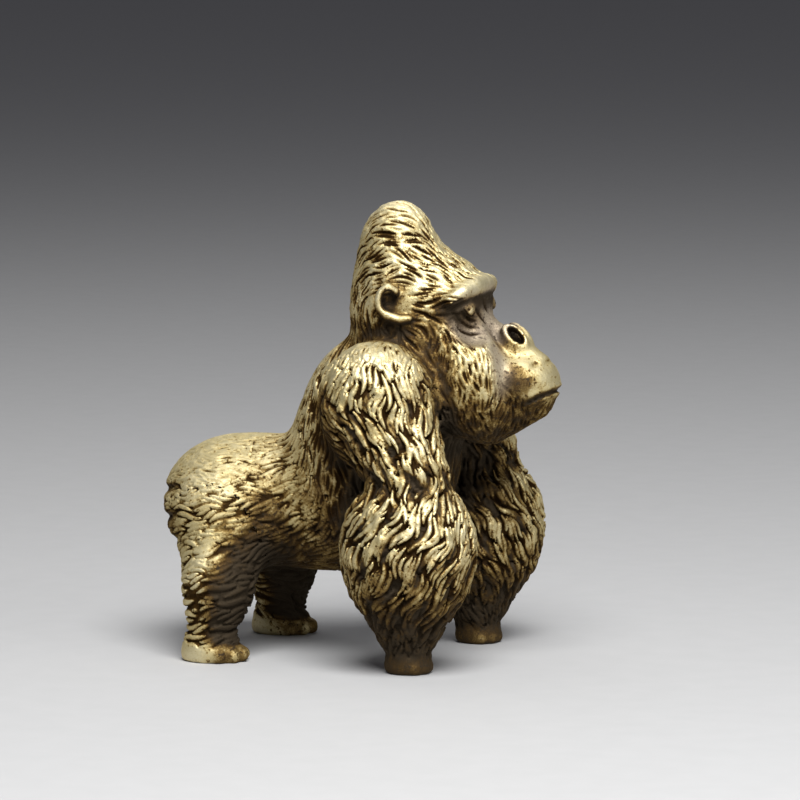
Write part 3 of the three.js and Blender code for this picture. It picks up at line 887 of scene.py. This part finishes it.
def bare_skin(points):
    """1 on the brow, eyes, nose, muzzle, ears, hands and feet, 0 in the fur."""
    long, short, facing = nostril_frame(points)
    above, shown = mouth_line(points)
    nearest = np.minimum.reduce([
        np.sqrt(long ** 2 + short ** 2 + facing ** 2) - BARE_NOSE_RADIUS,
        lump(points, **BARE_MUZZLE),
        hollow_face(points),
        bare_brow(points) - BARE_RIM,
        strand(points, EAR_RIM, EAR_RADII) - BARE_RIM,
        lump(points, **BARE_EAR),
        np.abs(above) - BARE_LIP * shown + BARE_LIP_END,
    ])
    soles = smooth_step(*BARE_SOLE_Z, points[:, 2])
    return np.maximum(smooth_step(*BARE_EDGE, nearest), soles)


def stroke_styles(points):
    """The strokes' sizes, and whether they stand up, at points with x, out and z."""
    torso, head, arm, leg = shares_of(castings(points))
    x, height = points[:, 0], points[:, 2]
    nape = smooth_step(*NAPE_X, x)
    cheek = smooth_step(*CHEEK_Z, height) * smooth_step(*CHEEK_X, x)
    shoulder = smooth_step(*SHOULDER_Z, height)
    wrist = smooth_step(*WRIST_Z, height)
    mane = mane_share(points)
    rump = smooth_step(*RUMP_X, x) * smooth_step(*RUMP_Z, height)
    thigh = smooth_step(*THIGH_Z, height)
    zones = {
        "crown": head * (1 - nape) * (1 - cheek),
        "nape": head * nape * (1 - cheek),
        "cheek": head * cheek,
        "shoulder": arm * shoulder,
        "lock": arm * (1 - shoulder) * (1 - wrist),
        "wrist": arm * (1 - shoulder) * wrist,
        "mane": torso * mane,
        "rump": torso * (1 - mane) * rump,
        "flank": torso * (1 - mane) * (1 - rump) + leg * thigh,
        "shin": leg * (1 - thigh),
    }
    return sum(weight[:, None] * np.float32(STROKES[zone]) for zone, weight in zones.items())


def relief_of(points):
    """How lumpy the fur is, most on the arms below the shoulders."""
    torso, head, arm, leg = shares_of(castings(points))
    shoulder = smooth_step(*SHOULDER_RELIEF_Z, points[:, 2])
    below = 1 - SHOULDER_SMOOTHNESS * shoulder
    return TORSO_RELIEF * torso + HEAD_RELIEF * head + below * arm + LEG_RELIEF * leg


def ink_of(points):
    """How dark the strokes are: black on the head and arms, brown on the flank, rump and legs."""
    torso, head, arm, leg = shares_of(castings(points))
    crest = 1 - (1 - CREST_INK) * smooth_step(*CREST_Z, points[:, 2])
    flank = FLANK_INK + (1 - FLANK_INK) * mane_share(points)
    return head * crest + arm + torso * flank + LEG_INK * leg


def laid(points, comb, normals):
    """Comb directions laid on the surface, with a sway that makes the strokes wave."""
    along = comb - (comb * normals).sum(1, keepdims=True) * normals
    along = unit_rows(along)
    across = np.cross(normals, along)
    waves = [np.sin(points @ np.float32(wave) + start) for start, wave in enumerate(SWAY_WAVES)]
    turn = SWAY * np.mean(waves, axis=0)[:, None]
    return along * np.cos(turn) + across * np.sin(turn)


def trails(starts):
    """The ways that strokes could take from their starts, as places along the comb and back."""
    ways = []
    for heading in (-1, 1):
        places = starts
        slope = slope_of(places)[1]
        way = []
        for _ in range(TRAIL_STEPS):
            places = places + heading * STROKE_STEP * laid(places, combed(places), unit_rows(slope))
            distance, slope = slope_of(places)
            steep = np.maximum((slope ** 2).sum(1, keepdims=True), TRAIL_STEEPNESS)
            places = places - distance[:, None] * slope / steep
            way.append(places)
        ways.append(way)
    return np.stack(ways[0][::-1] + [starts] + ways[1], axis=1)


@functools.cache
def ball_of_cells(reach):
    """The steps to all cells of the room grid that lie within so many cells."""
    steps = np.arange(-reach, reach + 1)
    cells = np.stack(np.meshgrid(steps, steps, steps, indexing="ij"), axis=-1).reshape(-1, 3)
    return cells[np.linalg.norm(cells, axis=1) <= reach]


def stroke_starts(points, chance):
    """Where strokes may start, in the order in which they are tried, and their styles."""
    starts = points[chance.permutation(len(points))[:STROKE_TRIES]]
    sides = folded(starts)
    styles = stroke_styles(sides)
    styles[:, :4] *= chance.uniform(*STROKE_SIZES, (len(starts), 1))
    styles[:, 3] *= (1 - bare_skin(sides)) * chance.uniform(*STROKE_PRESSURES, len(starts))
    keep = styles[:, 3] > SHALLOWEST_STROKE
    return starts[keep], styles[keep]


def free_stretch(free, half_length, overrun, least_share):
    """The part of a trail that a stroke can take, or None where too little of it is free."""
    middle = TRAIL_STEPS
    if not free[middle]:
        return None
    steps = min(TRAIL_STEPS, max(1, round(half_length / STROKE_STEP)))
    before = np.argmin(np.append(free[middle - steps:middle][::-1], False))
    after = np.argmin(np.append(free[middle + 1:middle + steps + 1], False))
    if before + after < least_share * steps:
        return None
    before = min(before + overrun[0], steps)
    after = min(after + overrun[1], steps)
    return slice(middle - before, middle + after + 1)


def carved_strokes(points):
    """Strokes along the comb that keep their room to each other, as a wire."""
    chance = np.random.default_rng(STROKE_SEED)
    starts, styles = stroke_starts(points, chance)
    overruns = chance.integers(0, STROKE_OVERRUN + 1, (len(starts), 2))
    ways = trails(starts)
    low = points.min(0) - STROKE_MARGIN
    cells = ((ways - low) / ROOM_CELL).astype(int)
    taken = np.zeros(((points.max(0) + STROKE_MARGIN - low) / ROOM_CELL).astype(int) + 1, bool)
    least_shares = np.linspace(*LEAST_SHARES, len(ways))
    cuts = [(way, CREASE_WIDTH, CREASE_DEPTH, 0) for way in drawn_ways()]
    for way, way_cells, style, overrun, least in zip(ways, cells, styles, overruns, least_shares):
        half_length, room, width, depth, raised = style
        chosen = free_stretch(~taken[tuple(way_cells.T)], half_length, overrun, least)
        if chosen is None:
            continue
        room_cells = way_cells[chosen, None] + ball_of_cells(round(room / ROOM_CELL))
        taken[tuple(room_cells.reshape(-1, 3).T)] = True
        cuts.append((way[chosen], width, depth, raised > 0.5))
    return wire_of(cuts)


def drawn_ways():
    """The creases round both eyes as places on the surface."""
    for path in EYE_CREASES:
        corners = np.float32(path).T
        numbers = np.arange(len(path))
        shares = np.linspace(0, len(path) - 1, CREASE_POINTS * len(path))
        way = np.stack([np.interp(shares, numbers, axis) for axis in corners], axis=1)
        way[:, 0] += ORIGIN_SHIFT
        for side in (-1, 1):
            yield onto_surface(np.float32(way * (1, side, 1)))[0]


def wire_of(cuts):
    """Cuts as edges, places and their layers, each cut running out at both ends."""
    places, widths, depths, raises, edges = [], [], [], [], []
    for way, width, depth, raised in cuts:
        count = len(way)
        lens = np.sin(math.pi * (np.arange(count) + 0.5) / count) ** STROKE_TAPER
        edges += [(len(places) + i, len(places) + i + 1) for i in range(count - 1)]
        places += list(way)
        widths += list(width * lens)
        depths += list(depth * (raised + (1 - raised) * lens))
        raises += [raised] * count
    lengths = {"half_width": np.float32(widths) * MM, "depth": np.float32(depths) * MM}
    return edges, np.float32(places) * MM, {**lengths, "raised": raises}


# Node trees

class Wire:
    """A socket in a node tree. Arithmetic on wires adds Math nodes."""

    def __init__(self, tree, socket):
        self.tree = tree
        self.socket = socket

    def add(self, kind, settings=None, inputs=None, output=0):
        """A new node of any kind, as the wire from one of its outputs."""
        node = self.tree.nodes.new(kind)
        settings = dict(settings or {})
        stops = settings.pop("stops", None)
        for name, value in settings.items():
            setattr(node, name, value)
        if stops:
            self._set_ramp(node.color_ramp, stops)
        self.feed(node, inputs or {})
        return Wire(self.tree, node.outputs[output])

    def feed(self, node, inputs):
        """Sets a node's inputs to values, or links them to wires."""
        for name, value in inputs.items():
            if isinstance(value, Wire):
                self.tree.links.new(value.socket, node.inputs[name])
            else:
                node.inputs[name].default_value = value

    @staticmethod
    def _set_ramp(ramp, stops):
        while len(ramp.elements) < len(stops):
            ramp.elements.new(0.5)
        for element, (position, colour) in zip(ramp.elements, stops):
            element.position = position
            element.color = (*colour, 1.0)

    def math(self, operation, *values):
        return self.add("ShaderNodeMath", {"operation": operation}, dict(enumerate(values)))

    def __add__(self, other):
        return self.math("ADD", self, other)

    __radd__ = __add__

    def __sub__(self, other):
        return self.math("SUBTRACT", self, other)

    def __rsub__(self, other):
        return self.math("SUBTRACT", other, self)

    def __mul__(self, other):
        return self.math("MULTIPLY", self, other)

    __rmul__ = __mul__

    def __truediv__(self, other):
        return self.math("DIVIDE", self, other)

    def __rtruediv__(self, other):
        return self.math("DIVIDE", other, self)

    def between(self, low, high):
        """Rises smoothly from 0 to 1 as the value goes from low to high."""
        values = {"Value": self, "From Min": low, "From Max": high}
        return self.add("ShaderNodeMapRange", {"interpolation_type": "SMOOTHSTEP"}, values)

    def mix(self, first, second):
        """A colour between two others, with this wire as the factor."""
        values = {"Factor": self, "A": first, "B": second}
        return self.add("ShaderNodeMix", {"data_type": "RGBA"}, values, "Result")


def attribute(wire, name):
    return wire.add("GeometryNodeInputNamedAttribute", {"data_type": "FLOAT"}, {"Name": name})


def noise_on(place, scale, detail):
    """Noise over places, from 0 to 1."""
    return place.add("ShaderNodeTexNoise", None, {"Vector": place, "Scale": scale, "Detail": detail})


def fur_inputs(tree):
    """Gives the fur tree its sockets. Its named inputs come back as wires."""
    kinds = {"Geometry": "NodeSocketGeometry", "Strokes": "NodeSocketObject"}
    for name in ("Geometry", "Strokes", "Full Depth", "Pebble Size", "Pebble Height"):
        kind = kinds.get(name, "NodeSocketFloat")
        tree.interface.new_socket(name, in_out="INPUT", socket_type=kind)
    tree.interface.new_socket("Geometry", in_out="OUTPUT", socket_type="NodeSocketGeometry")
    entry = tree.nodes.new("NodeGroupInput")
    return {socket.name: Wire(tree, socket) for socket in entry.outputs if socket.name}


def stroke_cut(given):
    """How dark the nearest stroke is at each point, and how deep it cuts there."""
    start = given["Geometry"]
    strokes = start.add("GeometryNodeObjectInfo", None, {"Object": given["Strokes"]}, "Geometry")
    to_edges = {"target_element": "EDGES"}
    away = start.add("GeometryNodeProximity", to_edges, {"Geometry": strokes}, "Distance")
    nearest = start.add("GeometryNodeSampleNearest", {"domain": "POINT"}, {"Geometry": strokes})

    def of_stroke(name):
        """A value of the nearest stroke."""
        values = {"Geometry": strokes, "Value": attribute(start, name), "Index": nearest}
        return start.add("GeometryNodeSampleIndex", {"data_type": "FLOAT", "domain": "POINT"}, values)

    depth = of_stroke("depth")
    reach = away / of_stroke("half_width")
    cut_in = start.math("MAXIMUM", 1 - reach, 0.0)
    crevice = start.math("MINIMUM", reach, 1.0)
    crevice = crevice * crevice * attribute(start, "fur")
    inside = cut_in + of_stroke("raised") * (crevice - cut_in)
    deep = (depth / given["Full Depth"]).between(*GROOVE_ZONE)
    groove = inside * (GROOVE_LEAST + (1 - GROOVE_LEAST) * deep)
    side = inside * inside
    rounded = STROKE_ROUNDNESS + (1 - STROKE_ROUNDNESS) * side * side
    return groove, side * rounded * depth


def fur_tree(material):
    """Geometry nodes that subdivide the sculpture and carve the strokes into it."""
    tree = bpy.data.node_groups.new("carved_fur", "GeometryNodeTree")
    given = fur_inputs(tree)
    start = given["Geometry"]
    fine = start.add("GeometryNodeSubdivisionSurface", None, {"Mesh": start, "Level": 1})
    groove, cut = stroke_cut(given)
    pebbles = noise_on(start.add("GeometryNodeInputPosition"), 1.0 / given["Pebble Size"], 1.0)
    swell = (pebbles - 0.5) * given["Pebble Height"] * attribute(start, "relief")
    stored = start.add(
        "GeometryNodeStoreNamedAttribute",
        {"data_type": "FLOAT", "domain": "POINT"},
        {"Geometry": fine, "Name": "groove", "Value": groove},
    )
    normal = start.add("GeometryNodeInputNormal")
    lift = {0: normal, "Scale": swell - cut}
    outward = start.add("ShaderNodeVectorMath", {"operation": "SCALE"}, lift)
    carved = start.add("GeometryNodeSetPosition", None, {"Geometry": stored, "Offset": outward})
    smooth = start.add("GeometryNodeSetShadeSmooth", None, {"Geometry": carved})
    whole = start.add("GeometryNodeRealizeInstances", None, {"Geometry": smooth})
    finished = start.add("GeometryNodeSetMaterial", None, {"Geometry": whole, "Material": material})
    start.feed(tree.nodes.new("NodeGroupOutput"), {"Geometry": finished})
    return tree


def set_inputs(modifier, **values):
    """Sets a nodes modifier's inputs by their sockets' identifiers."""
    for item in modifier.node_group.interface.items_tree:
        if item.in_out == "INPUT" and item.name in values:
            modifier[item.identifier] = values[item.name]


# Materials

def new_material(name):
    """A new material, its shader, and the places on the piece that it covers."""
    material = bpy.data.materials.new(name)
    material.use_nodes = True
    tree = material.node_tree
    place = Wire(tree, None).add("ShaderNodeTexCoord", output="Object")
    return material, tree.nodes["Principled BSDF"], place


def aged_brass():
    """Worn gold where hands rub and painted highlights lie, dark patina in the strokes and hollows, and
    painted shade in the hollows, in sheltered places and below the brow.
    """
    material, shader, place = new_material("aged_brass")

    def layer(name):
        return place.add("ShaderNodeAttribute", {"attribute_name": name}, output="Fac")

    groove = layer("groove")
    ink = layer("ink")
    grain = noise_on(place, *GRAIN)
    specks = noise_on(place, *SPECKS)
    blotch = noise_on(place, *BLOTCHES)
    tone = noise_on(place, *TONE)

    # Patina and painted shade from the mesh, with random blotches and pits
    film_and_shade = layer("patina_and_shade") + (blotch - 0.5) * BLOTCH_FILM + specks.between(*SPECK_EDGE) * SPECK_FILM
    stroke = groove.between(*INK_EDGE) * INK_EDGE_SHARE + groove * (1 - INK_EDGE_SHARE)
    dark = stroke * ink + film_and_shade + (grain - 0.5) * GRAIN_FILM
    aged_and_shaded = dark.between(0.0, FULLY_AGED_AND_SHADED)
    worn_and_lit = 1 - aged_and_shaded
    brass = place.add("ShaderNodeValToRGB", {"stops": BRASS_COLOURS}, {"Fac": aged_and_shaded}, "Color")
    tint = tone.between(*TINT_EDGE).mix(BRASS_TINT, WHITE)
    multiply = {"data_type": "RGBA", "blend_type": "MULTIPLY"}
    brass = place.add("ShaderNodeMix", multiply, {"Factor": 1.0, "A": brass, "B": tint}, "Result")
    # Dust, and a deeper painted shade, where the patina and painted shade are heaviest
    dusted_and_shaded = (film_and_shade.between(*DUST_AND_SHADE_EDGE) * DUST_AND_SHADE_SHARE).mix(brass, DUST_AND_SHADE)
    roughness = FILM_ROUGHNESS - INK_POLISH * ink - WORN_POLISH * worn_and_lit
    pits = {"Strength": PIT_STRENGTH, "Distance": PIT_HEIGHT, "Height": grain + specks * SPECK_PITS}
    place.feed(shader, {
        "Base Color": (layer("hollow") * GREY_SHARE).mix(dusted_and_shaded, aged_and_shaded.mix(*GREY_FILM)),
        "Metallic": FILM_METALLIC + WORN_METALLIC * worn_and_lit,
        "Roughness": roughness + (grain - 0.5) * GRAIN_ROUGHNESS,
        "Normal": place.add("ShaderNodeBump", None, pits, "Normal"),
        "Specular IOR Level": SHEEN,
        "Specular Tint": SHEEN_TINT,
    })
    return material


def turned_brass():
    """Plain brass rod, with fine marks all over it."""
    material, shader, place = new_material("turned_brass")
    marks = noise_on(place, *ROD_MARKS)
    roughness = ROD_ROUGHNESS + ROD_MARK_ROUGHNESS * marks
    place.feed(shader, {"Base Color": marks.mix(*ROD_COLOURS), "Roughness": roughness, "Metallic": 1.0})
    return material


def pale_floor():
    material, shader, place = new_material("pale_floor")
    specks = noise_on(place, *FLOOR_SPECKS)
    place.feed(shader, {"Base Color": specks.mix(*FLOOR_COLOURS), "Roughness": FLOOR_ROUGHNESS})
    return material


# The pieces

def mesh_from(name, points, edges, faces):
    mesh = bpy.data.meshes.new(name)
    mesh.from_pydata(points.tolist(), edges, faces)
    mesh.update()
    return mesh


def placed(name, data):
    """A new object in the scene."""
    thing = bpy.data.objects.new(name, data)
    bpy.context.scene.collection.objects.link(thing)
    return thing


def store(mesh, name, values):
    """Keeps one number for each point of a mesh."""
    layer = mesh.attributes.new(name, "FLOAT", "POINT")
    layer.data.foreach_set("value", np.ascontiguousarray(values, np.float32))


def read(data, key, width, kind=np.float32):
    values = np.empty(len(data) * width, kind)
    data.foreach_get(key, values)
    return values.reshape(-1, width) if width > 1 else values


def stroke_object(points):
    """The strokes as a wire object that the fur tree reads, which is no piece of the figure."""
    edges, places, layers = carved_strokes(points)
    mesh = mesh_from("fur_strokes", places, edges, [])
    for name, values in layers.items():
        store(mesh, name, values)
    return placed("fur_strokes", mesh)


def furred_figure(material):
    """The whole figure with its fur carved, as one mesh that still has to be shared out."""
    points, quads = sculpted_surface()
    points, normals = onto_surface(points)
    sides = folded(points)
    fields = np.stack(castings(sides), axis=1)
    mesh = mesh_from("whole_figure", points * MM, [], quads.tolist())
    skin = bare_skin(sides)
    store(mesh, "fur", 1 - skin)
    store(mesh, "relief", (1 - skin) * relief_of(sides))
    store(mesh, "hollow", hollow_of(sides))
    # Patina and painted shade, for the colour
    store(mesh, "patina_and_shade", patina_and_shade_of(points, normals))
    store(mesh, "ink", ink_of(sides))
    store(mesh, "owner", np.argmin(fields, axis=1))
    body = placed("whole_figure", mesh)
    strokes = stroke_object(points)
    modifier = body.modifiers.new("fur", "NODES")
    modifier.node_group = fur_tree(material)
    set_inputs(modifier, **{
        "Strokes": strokes,
        "Full Depth": FULL_DEPTH * MM,
        "Pebble Size": PEBBLE_SIZE * MM,
        "Pebble Height": PEBBLE_HEIGHT * MM,
    })
    evaluated = body.evaluated_get(bpy.context.evaluated_depsgraph_get())
    furred = bpy.data.meshes.new_from_object(evaluated)
    bpy.data.objects.remove(body)
    bpy.data.objects.remove(strokes)
    return furred


def rims_of(faces):
    """The open edges of four-sided faces, as rows of two points in the faces' order."""
    edges = np.stack((faces, np.roll(faces, -1, axis=1)), axis=-1).reshape(-1, 2)
    known = {tuple(edge) for edge in edges.tolist()}
    return [edge for edge in known if (edge[1], edge[0]) not in known]


def loops_of(rims):
    """The closed loops that the open edges make."""
    following = {}
    for start, end in sorted(rims):
        following.setdefault(start, []).append(end)
    loops = []
    while following:
        first = min(following)
        loop = [first]
        while True:
            ends = following[loop[-1]]
            step = ends.pop()
            if not ends:
                del following[loop[-1]]
            if step == first or step not in following:
                break
            loop.append(step)
        loops.append(loop)
    return loops


def capped(quads, places):
    """Faces that close the open loops of a shell, and the middles of the loops, where they meet."""
    caps = []
    middles = []
    for loop in loops_of(rims_of(quads)):
        middle = len(places) + len(middles)
        middles.append(places[loop].mean(0))
        caps += [(end, start, middle) for start, end in zip(loop, loop[1:] + loop[:1])]
    return caps, np.float32(middles).reshape(-1, 3)


def cast_piece(node, furred, points, faces, normals, layers):
    """One casting from its share of the figure's faces, closed where it meets its neighbours."""
    used, renamed = np.unique(faces, return_inverse=True)
    quads = renamed.reshape(-1, 4)
    caps, middles = capped(quads, points[used])
    name = node + "_casting"
    mesh = mesh_from(name, np.concatenate((points[used], middles)), [], quads.tolist() + caps)
    for layer, values in layers.items():
        store(mesh, layer, np.concatenate((values[used], np.ones(len(middles), np.float32))))
    mesh.polygons.foreach_set("use_smooth", np.ones(len(mesh.polygons), bool))
    directions = np.concatenate((normals[used], np.zeros_like(middles)))
    mesh.normals_split_custom_set_from_vertices(directions.tolist())
    mesh.materials.append(furred.materials[0])
    piece = placed(name, mesh)
    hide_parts(node)
    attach(piece, "root")


def share_out(furred):
    """Splits the furred figure into the castings that it is made of."""
    points = read(furred.vertices, "co", 3)
    normals = read(furred.vertices, "normal", 3)
    faces = read(furred.loops, "vertex_index", 1, np.int32).reshape(-1, 4)
    names = ("groove", "ink", "patina_and_shade", "hollow", "owner")
    layers = {name: read(furred.attributes[name].data, "value", 1) for name in names}
    owner = np.rint(layers.pop("owner")[faces].mean(1) - EARLIER_CASTING_LEAD).astype(int)
    right = points[faces, 1].mean(1) < 0
    shares = {
        "torso": owner == 0,
        "head": owner == 1,
        "right_arm": (owner == 2) & right,
        "left_arm": (owner == 2) & ~right,
        "right_leg": (owner == 3) & right,
        "left_leg": (owner == 3) & ~right,
    }
    for name, share in shares.items():
        cast_piece(name, furred, points, faces[share], normals, layers)


def finish_dowels():
    """Gives the hidden dowels, which stay as the CAD made them, their brass."""
    brass_rod = turned_brass()
    for node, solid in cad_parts.items():
        if node.endswith("_dowel"):
            solid.data.materials.clear()
            solid.data.materials.append(brass_rod)


# The studio

def floor():
    corners = FLOOR_REACH * np.float32([(-1, -1, 0), (1, -1, 0), (1, 1, 0), (-1, 1, 0)])
    mesh = mesh_from("studio_floor", corners, [], [(0, 1, 2, 3)])
    mesh.materials.append(pale_floor())
    placed("studio_floor", mesh)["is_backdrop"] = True


def aim(thing, target):
    thing.rotation_euler = (Vector(target) - thing.location).to_track_quat("-Z", "Y").to_euler()


def soft_light(name, location, size, power):
    light = bpy.data.lights.new(name, "AREA")
    light.shape = "DISK"
    light.size = size
    light.energy = power
    lamp = placed(name, light)
    lamp.location = location
    aim(lamp, VIEW_TARGET)


def camera():
    azimuth = math.radians(VIEW_AZIMUTH)
    elevation = math.radians(VIEW_ELEVATION)
    away = Vector((
        math.sin(azimuth) * math.cos(elevation),
        -math.cos(azimuth) * math.cos(elevation),
        math.sin(elevation),
    ))
    lens = bpy.data.cameras.new("photo_view")
    lens.sensor_width = SENSOR_WIDTH
    lens.lens = SENSOR_WIDTH * VIEW_DISTANCE / VIEW_WIDTH
    lens.clip_start = NEAREST_SEEN
    eye = placed("photo_view", lens)
    eye.location = Vector(VIEW_TARGET) + VIEW_DISTANCE * away
    aim(eye, VIEW_TARGET)
    bpy.context.scene.camera = eye


def studio():
    floor()
    for name, (location, size, power) in STUDIO_LIGHTS.items():
        soft_light(name, location, size, power)
    world = bpy.data.worlds.new("studio_air")
    world.use_nodes = True
    world.node_tree.nodes["Background"].inputs["Color"].default_value = AIR_COLOUR
    bpy.context.scene.world = world
    bpy.context.scene.view_settings.view_transform = "Standard"
    camera()


share_out(furred_figure(aged_brass()))
finish_dowels()
studio()

boxes = {"cad": CAD_BOX, "visual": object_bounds()}
{name: [list(map(float, corner)) for corner in box] for name, box in boxes.items()}
